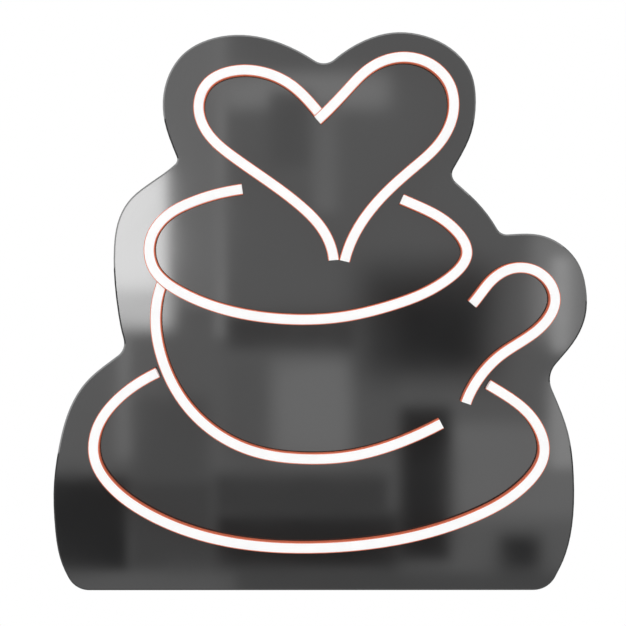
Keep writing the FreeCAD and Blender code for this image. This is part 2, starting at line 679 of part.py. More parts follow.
def make_tray():
    """Tray on the back of the board, open to the wall side until its lid is on."""
    outer_x = centred(0, BOX_WIDTH)
    outer_z = (BOX_LOW, BOX_TOP)
    tray = rounded_slab(outer_x, outer_z, BOX_CORNER_RADIUS, (BACK, TRAY_RIM))
    room = rounded_slab(centred(0, BOX_WIDTH - 2 * BOX_WALL), centred(BOX_MIDDLE, BOX_HEIGHT - 2 * BOX_WALL),
                        BOX_CORNER_RADIUS - BOX_WALL, (TRAY_FLOOR, TRAY_RIM + 1))
    tray = tray.cut(room)
    for point in pillar_points(TRAY_FLOOR):
        tray = tray.fuse(cylinder(PILLAR_DIAMETER, point, V(0, 1, 0), TRAY_RIM - TRAY_FLOOR))
    for point in pcb_screw_points(TRAY_FLOOR):
        tray = tray.fuse(cylinder(PCB_POST_DIAMETER, point, V(0, 1, 0), PCB_POST_HEIGHT))
    for x, z in pcb_rest_points():
        tray = tray.fuse(cylinder(PCB_POST_DIAMETER, V(x, TRAY_FLOOR, z), V(0, 1, 0), PCB_POST_HEIGHT))
    tray = tray.removeSplitter()
    pilot = LID_SCREW_DIAMETER + 2 * SCREW_FIT
    for point in pillar_points(TRAY_RIM):
        tray = tray.cut(cylinder(pilot, point, V(0, -1, 0), LID_SCREW_LENGTH))
    pilot = PCB_SCREW_DIAMETER + 2 * SCREW_FIT
    for point in pcb_screw_points(PCB_BACK):
        tray = tray.cut(cylinder(pilot, point, V(0, -1, 0), PCB_SCREW_LENGTH - PCB_THICKNESS))
    for point in insert_points():
        hole = FIXING_DIAMETER + 2 * SCREW_CLEARANCE
        tray = tray.cut(cylinder(hole, point - V(0, 1, 0), V(0, 1, 0), BOX_WALL + 2))
    for name in ENTRY_ORDER:
        mouth = V(entry_x(name), WIRE_LEVEL, BOX_TOP - 2 * BOX_WALL)
        tray = tray.cut(cylinder(LEAD_BORE, mouth, V(0, 0, 1), 3 * BOX_WALL))
    jack = cylinder(JACK_THREAD_DIAMETER + 2 * JACK_FIT, V(JACK_OFFSET, PORT_LEVEL, BOX_LOW - 1),
                    V(0, 0, 1), BOX_WALL + 2)
    window = block(centred(SWITCH_OFFSET, SWITCH_BODY_LENGTH + 2 * SWITCH_FIT),
                   centred(PORT_LEVEL, SWITCH_BODY_WIDTH + 2 * SWITCH_FIT),
                   (BOX_LOW - 1, BOX_LOW + BOX_WALL + 1))
    return tray.cut(jack).cut(window)


def pcb_rest_points():
    """Two plain posts under the terminal edge of the circuit board."""
    reach_x = PCB_LENGTH / 2 - PCB_SCREW_INSET
    high = BOX_MIDDLE + PCB_MIDDLE + PCB_WIDTH / 2 - PCB_SCREW_INSET
    return [(-reach_x, high), (reach_x, high)]


def make_lid():
    """Flat lid with a locating rim inside the tray walls."""
    top = TRAY_RIM + LID_THICKNESS
    lid = rounded_slab(centred(0, BOX_WIDTH), (BOX_LOW, BOX_TOP), BOX_CORNER_RADIUS, (TRAY_RIM, top))
    lid = lid.makeChamfer(LID_EDGE_BEVEL, edges_at(lid, top))
    width = BOX_WIDTH - 2 * (BOX_WALL + LID_CLEARANCE)
    height = BOX_HEIGHT - 2 * (BOX_WALL + LID_CLEARANCE)
    radius = BOX_CORNER_RADIUS - BOX_WALL - LID_CLEARANCE
    depth = (TRAY_RIM - LID_RIM_DEPTH, TRAY_RIM)
    rim = rounded_slab(centred(0, width), centred(BOX_MIDDLE, height), radius, depth)
    rim = rim.cut(block(centred(0, width - 2 * LID_RIM_WALL),
                        (depth[0] - 1, depth[1] + 1),
                        centred(BOX_MIDDLE, height - 2 * LID_RIM_WALL)))
    rim = rim.cut(block(centred(SWITCH_OFFSET, SWITCH_BODY_LENGTH + 2 * LID_CLEARANCE),
                        (depth[0] - 1, depth[1]), (BOX_LOW, BOX_LOW + 2 * BOX_WALL)))
    for point in pillar_points(depth[0] - 1):
        clearance = PILLAR_DIAMETER + 2 * (PILLAR_INSET - PILLAR_DIAMETER / 2)
        rim = rim.cut(cylinder(clearance, point, V(0, 1, 0), LID_RIM_DEPTH + 1))
    lid = lid.fuse(rim).removeSplitter()
    for point in pillar_points(TRAY_RIM - 1):
        hole = LID_SCREW_DIAMETER + 2 * SCREW_CLEARANCE
        lid = lid.cut(cylinder(hole, point, V(0, 1, 0), LID_THICKNESS + 2))
    return lid


def make_insert(point):
    """Threaded brass insert, flush with the back of the board."""
    insert = cylinder(INSERT_DIAMETER, point, V(0, -1, 0), INSERT_DEPTH)
    bore = FIXING_DIAMETER + 2 * SCREW_FIT
    return insert.cut(cylinder(bore, point, V(0, -1, 0), INSERT_DEPTH))


def fixing_screws():
    length = BOX_WALL + INSERT_DEPTH - INSERT_MARGIN
    return [pan_screw(FIXING_DIAMETER, length, point + V(0, BOX_WALL, 0), V(0, -1, 0))
            for point in insert_points()]


def lid_screws():
    seat = TRAY_RIM + LID_THICKNESS
    return [pan_screw(LID_SCREW_DIAMETER, LID_SCREW_LENGTH, point, V(0, -1, 0))
            for point in pillar_points(seat)]


# --- Circuit board and terminals ----------------------------------------------------------------------
def make_pcb():
    middle = BOX_MIDDLE + PCB_MIDDLE
    pcb = block(centred(0, PCB_LENGTH), (PCB_BACK, PCB_FACE), centred(middle, PCB_WIDTH))
    for point in pcb_screw_points(PCB_BACK - 1):
        hole = PCB_SCREW_DIAMETER + 2 * SCREW_CLEARANCE
        pcb = pcb.cut(cylinder(hole, point, V(0, 1, 0), PCB_THICKNESS + 2))
    return pcb


def pcb_screws():
    return [pan_screw(PCB_SCREW_DIAMETER, PCB_SCREW_LENGTH, point, V(0, -1, 0))
            for point in pcb_screw_points(PCB_FACE)]


def terminal_body(x, wire_side, mouth):
    """Terminal block: wire_side is 1 with the wires from above and -1 from below."""
    back = mouth - wire_side * TERMINAL_LENGTH
    body = block(centred(x, TERMINAL_WIDTH), (PCB_FACE, PCB_FACE + TERMINAL_HEIGHT),
                 (min(mouth, back), max(mouth, back)))
    return body


def terminal_screw_points(x, wire_side, mouth):
    z = mouth - wire_side * TERMINAL_LENGTH / 2
    return [V(x + i * TERMINAL_SCREW_PITCH / 2, PCB_FACE + TERMINAL_HEIGHT, z) for i in (-1, 1)]


def with_screw_pockets(body, points):
    for point in points:
        body = body.cut(cylinder(TERMINAL_SCREW_DIAMETER + 2 * SCREW_FIT, point, V(0, -1, 0),
                                 TERMINAL_SCREW_DEPTH))
    return body


def make_output_terminals():
    """One two-pole block for each light tube."""
    blocks = []
    mouth = terminal_face()
    for name in ENTRY_ORDER:
        x = entry_x(name)
        body = terminal_body(x, 1, mouth)
        body = body.cut(cylinder(LEAD_BORE, V(x, WIRE_LEVEL, mouth + 1), V(0, 0, -1), ENTRY_DEPTH + 1))
        blocks.append(with_screw_pockets(body, terminal_screw_points(x, 1, mouth)))
    return Part.makeCompound([solid for item in blocks for solid in item.Solids])


def input_mouth():
    return BOX_MIDDLE + PCB_MIDDLE - PCB_WIDTH / 2 + TERMINAL_EDGE


def input_wire_points():
    """Wire entries of the supply terminal."""
    return [V(i * TERMINAL_SCREW_PITCH / 2, WIRE_LEVEL, input_mouth()) for i in (-1, 1)]


def make_input_terminal():
    """Two-pole block for the supply, with its wires from below."""
    body = terminal_body(0, -1, input_mouth())
    for point in input_wire_points():
        bore = WIRE_DIAMETER + 2 * LEAD_HOLE_CLEARANCE
        body = body.cut(cylinder(bore, point - V(0, 0, 1), V(0, 0, 1), ENTRY_DEPTH + 1))
    return with_screw_pockets(body, terminal_screw_points(0, -1, input_mouth()))


def terminal_screws():
    """Slotted clamp screws of all the terminal blocks."""
    points = list(terminal_screw_points(0, -1, input_mouth()))
    for name in ENTRY_ORDER:
        points.extend(terminal_screw_points(entry_x(name), 1, terminal_face()))
    screws = []
    slot = TERMINAL_SCREW_DIAMETER * SLOT_RATIO
    for point in points:
        screw = cylinder(TERMINAL_SCREW_DIAMETER, point, V(0, -1, 0), TERMINAL_SCREW_DEPTH)
        groove = block(centred(point.x, 2 * TERMINAL_SCREW_DIAMETER),
                       (point.y - slot, point.y + 1), centred(point.z, slot))
        screws.append(screw.cut(groove))
    return screws


# --- DC inlet ------------------------------------------------------------------------------------------
def jack_point(height):
    """Point on the axis of the inlet, height above the lower wall's outer face."""
    return V(JACK_OFFSET, PORT_LEVEL, BOX_LOW + height)


def make_jack_body():
    up = V(0, 0, 1)
    flange = cylinder(JACK_FLANGE_DIAMETER, jack_point(-JACK_FLANGE_THICKNESS), up,
                      JACK_FLANGE_THICKNESS)
    barrel = cylinder(JACK_THREAD_DIAMETER, jack_point(0), up, JACK_LENGTH)
    socket = cylinder(JACK_SOCKET_DIAMETER, jack_point(-JACK_FLANGE_THICKNESS), up, JACK_SOCKET_DEPTH)
    return flange.fuse(barrel).removeSplitter().cut(socket)


def make_jack_nut():
    base = jack_point(BOX_WALL)
    radius = JACK_NUT_WIDTH / 2 / math.cos(math.pi / 6)
    corners = [base + V(radius * math.cos(i * math.pi / 3), radius * math.sin(i * math.pi / 3), 0)
               for i in range(7)]
    nut = Part.Face(Part.makePolygon(corners)).extrude(V(0, 0, JACK_NUT_THICKNESS))
    bore = JACK_THREAD_DIAMETER + 2 * SCREW_FIT
    return nut.cut(cylinder(bore, base, V(0, 0, 1), JACK_NUT_THICKNESS))


def make_jack_contacts():
    """Centre pin of the socket and the two solder tags behind it."""
    bottom = JACK_SOCKET_DEPTH - JACK_FLANGE_THICKNESS
    length = JACK_SOCKET_DEPTH - JACK_PIN_RECESS
    pin = cylinder(JACK_PIN_DIAMETER, jack_point(bottom), V(0, 0, -1), length)
    pin = pin.makeFillet(JACK_PIN_DIAMETER / 4, [edge for edge in pin.Edges
                                                 if abs(edge.CenterOfMass.z
                                                        - jack_point(bottom - length).z) < 1e-6
                                                 and len(edge.Vertexes) == 1])
    tags = [block(centred(x, TAG_WIDTH), centred(PORT_LEVEL, TAG_THICKNESS),
                  (BOX_LOW + JACK_LENGTH, BOX_LOW + JACK_LENGTH + TAG_LENGTH)) for x in jack_tags()]
    return Part.makeCompound([pin] + tags)


def jack_tags():
    return [JACK_OFFSET - TAG_SPACING / 2, JACK_OFFSET + TAG_SPACING / 2]


# --- Rocker switch ---------------------------------------------------------------------------------------
ROCKER_HALF_WIDTH = SWITCH_BODY_WIDTH / 2 - SWITCH_WALL - ROCKER_CLEARANCE
PIVOT = V(SWITCH_OFFSET, PORT_LEVEL, BOX_LOW + ROCKER_PIVOT_DEPTH)


def make_switch_housing():
    bezel = block(centred(SWITCH_OFFSET, SWITCH_BEZEL_LENGTH), centred(PORT_LEVEL, SWITCH_BEZEL_WIDTH),
                  (BOX_LOW - SWITCH_BEZEL_THICKNESS, BOX_LOW))
    rim = [edge for edge in bezel.Edges
           if all(abs(v.Z - (BOX_LOW - SWITCH_BEZEL_THICKNESS)) < 1e-6 for v in edge.Vertexes)]
    bezel = bezel.makeFillet(SWITCH_BEZEL_ROUNDING, rim)
    body = block(centred(SWITCH_OFFSET, SWITCH_BODY_LENGTH), centred(PORT_LEVEL, SWITCH_BODY_WIDTH),
                 (BOX_LOW, BOX_LOW + SWITCH_BODY_DEPTH))
    housing = bezel.fuse(body).removeSplitter()
    well = block(centred(SWITCH_OFFSET, 2 * (ROCKER_END_RADIUS + ROCKER_CLEARANCE)),
                 centred(PORT_LEVEL, 2 * (ROCKER_HALF_WIDTH + ROCKER_CLEARANCE)),
                 (BOX_LOW - SWITCH_BEZEL_THICKNESS - 1, BOX_LOW + SWITCH_BODY_DEPTH - SWITCH_FLOOR))
    bearing = cylinder(TRUNNION_DIAMETER + 2 * TRUNNION_CLEARANCE,
                       PIVOT - V(0, SWITCH_BODY_WIDTH / 2, 0), V(0, 1, 0), SWITCH_BODY_WIDTH)
    return housing.cut(well).cut(bearing)


def make_rocker():
    """Rocker with a folded face, turned about its trunnions so that its right side is pressed."""
    rise = math.tan(math.radians(ROCKER_TILT))
    reach = ROCKER_END_RADIUS + 1
    outline = [(-reach, ROCKER_FACE + reach * rise), (0, ROCKER_FACE),
               (reach, ROCKER_FACE + reach * rise), (reach, -ROCKER_SKIRT),
               (ROCKER_LEG_ROOT, -ROCKER_SKIRT), (ROCKER_LEG_TIP, -ROCKER_LEG_LENGTH),
               (-ROCKER_LEG_TIP, -ROCKER_LEG_LENGTH), (-ROCKER_LEG_ROOT, -ROCKER_SKIRT),
               (-reach, -ROCKER_SKIRT)]
    corners = [PIVOT + V(x, -ROCKER_HALF_WIDTH, -out) for x, out in outline + outline[:1]]
    paddle = Part.Face(Part.makePolygon(corners)).extrude(V(0, 2 * ROCKER_HALF_WIDTH, 0))
    drum = cylinder(2 * ROCKER_END_RADIUS, PIVOT - V(0, 2 * ROCKER_HALF_WIDTH, 0), V(0, 1, 0),
                    4 * ROCKER_HALF_WIDTH)
    paddle = paddle.common(drum)
    outer = [edge for edge in paddle.Edges
             if all(v.Z < PIVOT.z - ROCKER_FACE + 1e-6 for v in edge.Vertexes)
             and abs(edge.tangentAt(edge.FirstParameter).y) < 0.1]
    paddle = paddle.makeFillet(ROCKER_EDGE_ROUNDING, outer)
    trunnion_reach = SWITCH_BODY_WIDTH / 2 - TRUNNION_SHORT
    trunnions = cylinder(TRUNNION_DIAMETER, PIVOT - V(0, trunnion_reach, 0), V(0, 1, 0),
                         2 * trunnion_reach)
    rocker = paddle.fuse(trunnions).removeSplitter()
    rocker.rotate(PIVOT, V(0, 1, 0), -ROCKER_TILT)
    return rocker


def blade_x():
    return [SWITCH_OFFSET - BLADE_SPACING / 2, SWITCH_OFFSET + BLADE_SPACING / 2]


def switch_blades():
    """Two terminal blades behind the housing."""
    base = BOX_LOW + SWITCH_BODY_DEPTH
    return [block(centred(x, BLADE_THICKNESS), centred(PORT_LEVEL, BLADE_WIDTH),
                  (base, base + BLADE_LENGTH)) for x in blade_x()]


# --- Wires in the control box -----------------------------------------------------------------------
def hookup_wires():
    """Inlet to board, inlet to switch, and switch to board."""
    tag_top = BOX_LOW + JACK_LENGTH + TAG_LENGTH
    blade_top = BOX_LOW + SWITCH_BODY_DEPTH + BLADE_LENGTH
    left_tag, right_tag = jack_tags()
    left_blade, right_blade = blade_x()
    over = PORT_LEVEL + WIRE_BOW
    under = PORT_LEVEL - WIRE_BOW
    across = tag_top + WIRE_HEIGHT
    entries = [point + V(0, 0, ENTRY_DEPTH - 1) for point in input_wire_points()]
    runs_in = [V(entry.x, WIRE_LEVEL, entry.z - WIRE_ENTRY) for entry in entries]
    return_wire = [V(left_tag, PORT_LEVEL, tag_top), V(left_tag, PORT_LEVEL, across),
                   V(left_tag + WIRE_SIDE, under, across), runs_in[0], entries[0]]
    supply_wire = [V(right_tag, PORT_LEVEL, tag_top), V(right_tag, PORT_LEVEL, tag_top + WIRE_RISE),
                   V(right_tag + WIRE_SIDE, over, across), V(left_blade - WIRE_SIDE, over, across),
                   V(left_blade, PORT_LEVEL, across), V(left_blade, PORT_LEVEL, blade_top)]
    switched_wire = [V(right_blade, PORT_LEVEL, blade_top), V(right_blade, PORT_LEVEL, across),
                     V(right_blade - WIRE_SIDE, under, across),
                     V(entries[1].x + WIRE_SIDE, under, across), runs_in[1], entries[1]]
    return [cable(points, WIRE_DIAMETER) for points in (return_wire, supply_wire, switched_wire)]


# --- Files -----------------------------------------------------------------------------------------------
def build():
    nodes = {"backboard": make_board()}
    for name in TUBES:
        nodes["jacket_" + name] = make_jacket(name)
        nodes["diffuser_" + name] = make_diffuser(name)
        nodes["end_plugs_" + name] = make_end_plugs(name)
        nodes["led_strip_" + name] = make_strip(name)
        nodes["lead_" + name] = cable(lead_points(name), LEAD_DIAMETER)
    nodes["feed_grommets"] = make_grommets()
    nodes["lead_clips"] = make_clips()
    nodes["mount_bosses"] = Part.makeCompound([make_boss(point) for point in stud_points()])
    nodes["wall_studs"] = Part.makeCompound([make_stud(point) for point in stud_points()])
    nodes["spacer_sleeves"] = Part.makeCompound([make_sleeve(point) for point in stud_points()])
    nodes["control_box_tray"] = make_tray()
    nodes["control_box_lid"] = make_lid()
    nodes["box_inserts"] = Part.makeCompound([make_insert(point) for point in insert_points()])
    nodes["box_fixing_screws"] = Part.makeCompound(fixing_screws())
    nodes["lid_screws"] = Part.makeCompound(lid_screws())
    nodes["distribution_board"] = make_pcb()
    nodes["distribution_board_screws"] = Part.makeCompound(pcb_screws())
    nodes["output_terminals"] = make_output_terminals()
    nodes["input_terminal"] = make_input_terminal()
    nodes["terminal_screws"] = Part.makeCompound(terminal_screws())
    nodes["dc_jack_body"] = make_jack_body()
    nodes["dc_jack_nut"] = make_jack_nut()
    nodes["dc_jack_contacts"] = make_jack_contacts()
    nodes["switch_housing"] = make_switch_housing()
    nodes["switch_rocker"] = make_rocker()
    nodes["switch_blades"] = Part.makeCompound(switch_blades())
    nodes["hookup_wires"] = Part.makeCompound(hookup_wires())
    return nodes


os.makedirs("parts", exist_ok=True)
for node, shape in build().items():
    shape.exportStep(f"parts/{node}.step")
    print(node, len(shape.Solids), "solid(s), valid", shape.isValid(), round(shape.Volume, 1), "mm3")
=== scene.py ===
import math

import bmesh
import bpy
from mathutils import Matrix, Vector


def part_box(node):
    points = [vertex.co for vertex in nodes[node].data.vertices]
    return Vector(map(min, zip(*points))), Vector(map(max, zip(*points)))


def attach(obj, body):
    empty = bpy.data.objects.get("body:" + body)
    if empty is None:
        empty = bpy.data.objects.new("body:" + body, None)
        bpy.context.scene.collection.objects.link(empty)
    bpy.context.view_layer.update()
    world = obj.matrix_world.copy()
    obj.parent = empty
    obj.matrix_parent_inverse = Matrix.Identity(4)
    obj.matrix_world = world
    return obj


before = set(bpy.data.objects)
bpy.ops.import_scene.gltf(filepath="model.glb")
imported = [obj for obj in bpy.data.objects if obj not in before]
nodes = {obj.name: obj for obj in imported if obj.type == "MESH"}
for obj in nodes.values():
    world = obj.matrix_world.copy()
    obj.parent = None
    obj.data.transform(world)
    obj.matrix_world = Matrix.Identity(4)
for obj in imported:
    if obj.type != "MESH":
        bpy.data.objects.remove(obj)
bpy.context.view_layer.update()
board_low, board_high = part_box("backboard")
FRONT = board_low.y             # the face of the board that carries the tubes; -Y is towards the camera
WALL = 0.0                      # y of the wall that the sign hangs on

# --- Camera: the photograph's place, 2.2 m in front of the board and a little above its middle ---
CAMERA_X = -0.0151
CAMERA_HEIGHT = 0.2614          # above the lower edge of the board
CAMERA_DISTANCE = 2.216         # from the front of the board
AIM_X = -0.0053
AIM_HEIGHT = 0.2084             # above the lower edge of the board
VIEW_WIDTH = 0.4693             # what the frame takes in at the front of the board
SENSOR = 36.0                   # mm
CLIP_START = 0.05
CLIP_END = 60.0

eye = Vector((CAMERA_X, FRONT - CAMERA_DISTANCE, board_low.z + CAMERA_HEIGHT))
aim = Vector((AIM_X, FRONT, board_low.z + AIM_HEIGHT))
camera_data = bpy.data.cameras.new("camera")
camera_data.sensor_width = SENSOR
camera_data.lens = SENSOR * (aim - eye).length / VIEW_WIDTH
camera_data.clip_start = CLIP_START
camera_data.clip_end = CLIP_END
camera = bpy.data.objects.new("camera", camera_data)
bpy.context.scene.collection.objects.link(camera)
camera.location = eye
camera.rotation_mode = "QUATERNION"
camera.rotation_quaternion = (aim - eye).to_track_quat("-Z", "Y")
bpy.context.scene.camera = camera
bpy.context.scene.view_settings.view_transform = "Standard"


# --- Materials ---
COLOUR_DETAIL = 2.0             # octaves of the noise behind colour and roughness
RELIEF_DETAIL = 3.0             # and of the noise behind the relief
ROUGHNESS_FINENESS = 1.7        # roughness wanders on a finer noise than colour
NOISE_LOW = 0.3                 # the part of the noise's range that the looks are spread over
NOISE_HIGH = 0.7


class Graph:
    """Short forms for building a shader's node tree."""

    def __init__(self, tree):
        self.tree = tree
        tree.nodes.clear()

    def add(self, kind, **settings):
        node = self.tree.nodes.new(kind)
        for key, value in settings.items():
            setattr(node, key, value)
        return node

    def link(self, source, target):
        self.tree.links.new(source, target)

    def noise(self, scale, detail, stretch):
        """Noise over the piece's own coordinates, in cells per metre; stretch gives each axis more."""
        place = self.add("ShaderNodeTexCoord").outputs["Object"]
        if stretch:
            mapping = self.add("ShaderNodeMapping")
            mapping.inputs["Scale"].default_value = stretch
            self.link(place, mapping.inputs["Vector"])
            place = mapping.outputs["Vector"]
        texture = self.add("ShaderNodeTexNoise")
        texture.inputs["Scale"].default_value = scale
        texture.inputs["Detail"].default_value = detail
        self.link(place, texture.inputs["Vector"])
        return texture.outputs["Fac"]

    def ramp(self, noise, low, high):
        """Noise as a colour between two."""
        ramp = self.add("ShaderNodeValToRGB")
        ramp.color_ramp.elements[0].position = NOISE_LOW
        ramp.color_ramp.elements[0].color = (*low, 1)
        ramp.color_ramp.elements[1].position = NOISE_HIGH
        ramp.color_ramp.elements[1].color = (*high, 1)
        self.link(noise, ramp.inputs["Fac"])
        return ramp.outputs["Color"]

    def fit(self, value, low, high, start=NOISE_LOW, end=NOISE_HIGH, curve="LINEAR"):
        """Value from start to end as a number from low to high."""
        fit = self.add("ShaderNodeMapRange", interpolation_type=curve)
        for name, number in (("From Min", start), ("From Max", end), ("To Min", low), ("To Max", high)):
            fit.inputs[name].default_value = number
        self.link(value, fit.inputs["Value"])
        return fit.outputs["Result"]

    def product(self, first, second):
        """First times second."""
        node = self.add("ShaderNodeMath", operation="MULTIPLY")
        self.link(first, node.inputs[0])
        self.link(second, node.inputs[1])
        return node.outputs[0]


def surface(name, low, high, rough, scale, bump=0.0, bump_scale=0.0, stretch=None, **sockets):
    """Principled material: colour and roughness wander with noise, and fine noise gives its relief.

    low and high are the two ends of its colour, rough those of its roughness, scale the noise's cells
    per metre, bump the depth of the relief in metres and bump_scale its cells per metre. sockets are
    the shader's own constants, with _ for each space in a socket's name.
    """
    material = bpy.data.materials.new(name)
    material.use_nodes = True
    graph = Graph(material.node_tree)
    shader = graph.add("ShaderNodeBsdfPrincipled")
    output = graph.add("ShaderNodeOutputMaterial")
    graph.link(shader.outputs["BSDF"], output.inputs["Surface"])
    coarse = graph.noise(scale, COLOUR_DETAIL, stretch)
    graph.link(graph.ramp(coarse, low, high), shader.inputs["Base Color"])
    fine = graph.noise(scale * ROUGHNESS_FINENESS, COLOUR_DETAIL, stretch)
    graph.link(graph.fit(fine, *rough), shader.inputs["Roughness"])
    if bump:
        relief = graph.add("ShaderNodeBump")
        relief.inputs["Distance"].default_value = bump
        graph.link(graph.noise(bump_scale, RELIEF_DETAIL, stretch), relief.inputs["Height"])
        graph.link(relief.outputs["Normal"], shader.inputs["Normal"])
    for key, value in sockets.items():
        shader.inputs[key.replace("_", " ")].default_value = value
    material.diffuse_color = (*high, 1)
    return material


ACRYLIC_IOR = 1.49
SILICONE_IOR = 1.41
ADHESIVE_IOR = 1.47
WHITE_GLOW = {"Emission_Color": (1.0, 1.0, 1.0, 1), "Emission_Strength": 0.40}
RED_GLOW = {"Emission_Color": (1.0, 0.23, 0.11, 1), "Emission_Strength": 0.20}

# One look for each material of the frame, by the material's name: the arguments of surface().
LOOKS = {
    "board_acrylic": dict(
        low=(0.0085, 0.0086, 0.009), high=(0.0105, 0.0106, 0.011), rough=(0.035, 0.06), scale=9.0,
        IOR=ACRYLIC_IOR),
    "jacket_silicone": dict(
        low=(0.48, 0.106, 0.052), high=(0.57, 0.138, 0.072), rough=(0.40, 0.50), scale=60.0,
        bump=0.00002, bump_scale=900.0, IOR=SILICONE_IOR, **RED_GLOW),
    "diffuser_silicone": dict(
        low=(0.535, 0.535, 0.535), high=(0.57, 0.57, 0.57), rough=(0.45, 0.55), scale=80.0,
        bump=0.00001, bump_scale=1200.0, IOR=SILICONE_IOR, **WHITE_GLOW),
    "plug_silicone": dict(
        low=(0.50, 0.50, 0.495), high=(0.56, 0.56, 0.555), rough=(0.40, 0.50), scale=120.0,
        bump=0.00002, bump_scale=1500.0, IOR=SILICONE_IOR, **WHITE_GLOW),
    "flex_circuit": dict(
        low=(0.80, 0.79, 0.75), high=(0.90, 0.89, 0.86), rough=(0.35, 0.5), scale=150.0),
    "lead_jacket": dict(
        low=(0.014, 0.014, 0.015), high=(0.026, 0.026, 0.028), rough=(0.38, 0.52), scale=220.0,
        bump=0.00003, bump_scale=1800.0),
    "grommet_rubber": dict(
        low=(0.018, 0.018, 0.018), high=(0.032, 0.032, 0.032), rough=(0.60, 0.75), scale=300.0,
        bump=0.00003, bump_scale=2500.0),
    "clip_plastic": dict(
        low=(0.020, 0.020, 0.022), high=(0.034, 0.034, 0.036), rough=(0.42, 0.55), scale=260.0,
        bump=0.00003, bump_scale=2200.0),
    "boss_acrylic": dict(
        low=(0.008, 0.008, 0.009), high=(0.013, 0.013, 0.015), rough=(0.08, 0.16), scale=90.0,
        IOR=ACRYLIC_IOR),
    "zinc_steel": dict(
        low=(0.52, 0.52, 0.50), high=(0.68, 0.68, 0.66), rough=(0.26, 0.38), scale=320.0,
        bump=0.00001, bump_scale=3000.0, Metallic=1.0),
    "sleeve_aluminium": dict(
        low=(0.66, 0.67, 0.69), high=(0.78, 0.79, 0.81), rough=(0.22, 0.36), scale=140.0,
        bump=0.00001, bump_scale=900.0, stretch=(1, 14, 1), Metallic=1.0),
    "box_plastic": dict(
        low=(0.020, 0.020, 0.022), high=(0.032, 0.032, 0.035), rough=(0.46, 0.60), scale=70.0,
        bump=0.00006, bump_scale=1300.0),
    "screw_steel": dict(
        low=(0.17, 0.17, 0.18), high=(0.28, 0.28, 0.29), rough=(0.28, 0.42), scale=400.0, Metallic=1.0),
    "brass": dict(
        low=(0.66, 0.48, 0.20), high=(0.78, 0.60, 0.30), rough=(0.24, 0.36), scale=400.0, Metallic=1.0),
    "circuit_board": dict(
        low=(0.010, 0.075, 0.032), high=(0.018, 0.11, 0.05), rough=(0.30, 0.42), scale=180.0),
    "terminal_plastic": dict(
        low=(0.02, 0.20, 0.09), high=(0.03, 0.26, 0.12), rough=(0.30, 0.42), scale=260.0,
        bump=0.00002, bump_scale=2000.0),
    "jack_plastic": dict(
        low=(0.014, 0.014, 0.014), high=(0.026, 0.026, 0.026), rough=(0.35, 0.50), scale=320.0,
        bump=0.00002, bump_scale=2400.0),
    "nickel": dict(
        low=(0.60, 0.59, 0.56), high=(0.74, 0.73, 0.70), rough=(0.16, 0.28), scale=420.0, Metallic=1.0),
    "switch_plastic": dict(
        low=(0.012, 0.012, 0.012), high=(0.022, 0.022, 0.022), rough=(0.28, 0.40), scale=280.0,
        bump=0.00002, bump_scale=2600.0),
    "rocker_plastic": dict(
        low=(0.016, 0.016, 0.016), high=(0.028, 0.028, 0.028), rough=(0.16, 0.26), scale=240.0),
    "wire_insulation": dict(
        low=(0.36, 0.020, 0.014), high=(0.48, 0.032, 0.022), rough=(0.36, 0.48), scale=260.0),
}
MATERIALS = {name: surface(name, **look) for name, look in LOOKS.items()}
MARK_INK = surface(
    "mark_ink", low=(0.74, 0.74, 0.72), high=(0.86, 0.86, 0.84), rough=(0.5, 0.62), scale=700.0,
    bump=0.00001, bump_scale=6000.0)
CURED_ADHESIVE = surface(
    "cured_adhesive", low=(0.010, 0.010, 0.011), high=(0.020, 0.020, 0.022), rough=(0.04, 0.12),
    scale=160.0, bump=0.00006, bump_scale=420.0, IOR=ADHESIVE_IOR)
for node in nodes.values():
    for index, old in enumerate(list(node.data.materials)):
        node.data.materials[index] = MATERIALS[old.name.split(".")[0]]


# --- Small pieces that the solids leave out ---
def mesh_piece(name, build, material, body):
    """Object from a function that fills a bmesh; it rides on a body of the frame."""
    form = bmesh.new()
    build(form)
    bmesh.ops.recalc_face_normals(form, faces=form.faces)
    mesh = bpy.data.meshes.new(name)
    form.to_mesh(mesh)
    form.free()
    mesh.materials.append(material)
    piece = bpy.data.objects.new(name, mesh)
    bpy.context.scene.collection.objects.link(piece)
    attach(piece, body)


def turned(angle):
    """Direction at an angle round the Y axis."""
    return Vector((math.cos(angle), 0, math.sin(angle)))


def skin(form, rings, closed):
    """Quads between rings of points, with caps where the row of rings is open."""
    rows = [[form.verts.new(point) for point in ring] for ring in rings]
    pairs = list(zip(rows, rows[1:]))
    if closed:
        pairs.append((rows[-1], rows[0]))
    for one, two in pairs:
        for index in range(len(one)):
            after = (index + 1) % len(one)
            form.faces.new((one[index], one[after], two[after], two[index]))
    if not closed:
        form.faces.new(rows[0])
        form.faces.new(list(reversed(rows[-1])))


stud_low, stud_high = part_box("wall_studs")
STUD_RADIUS = 0.003
STUDS = [(x, z) for x in (stud_low.x + STUD_RADIUS, stud_high.x - STUD_RADIUS)
         for z in (stud_low.z + STUD_RADIUS, stud_high.z - STUD_RADIUS)]
THREAD_PITCH = 0.0024
THREAD_HEIGHT = 0.00038
THREAD_LEAST_RISE = 0.02        # share of its height that is left at the very ends
THREAD_HALF_ROOT = 0.0005       # half the width of its foot
THREAD_CREST = 0.12             # width of its crest as a share of its foot's
THREAD_SINK = 0.0001            # how deep its foot stands in the stud
THREAD_START = 0.005            # plain stretch before it, from the wall's face
THREAD_RUN_OUT = 0.7            # turns over which it dies out
TURN_STEPS = 28


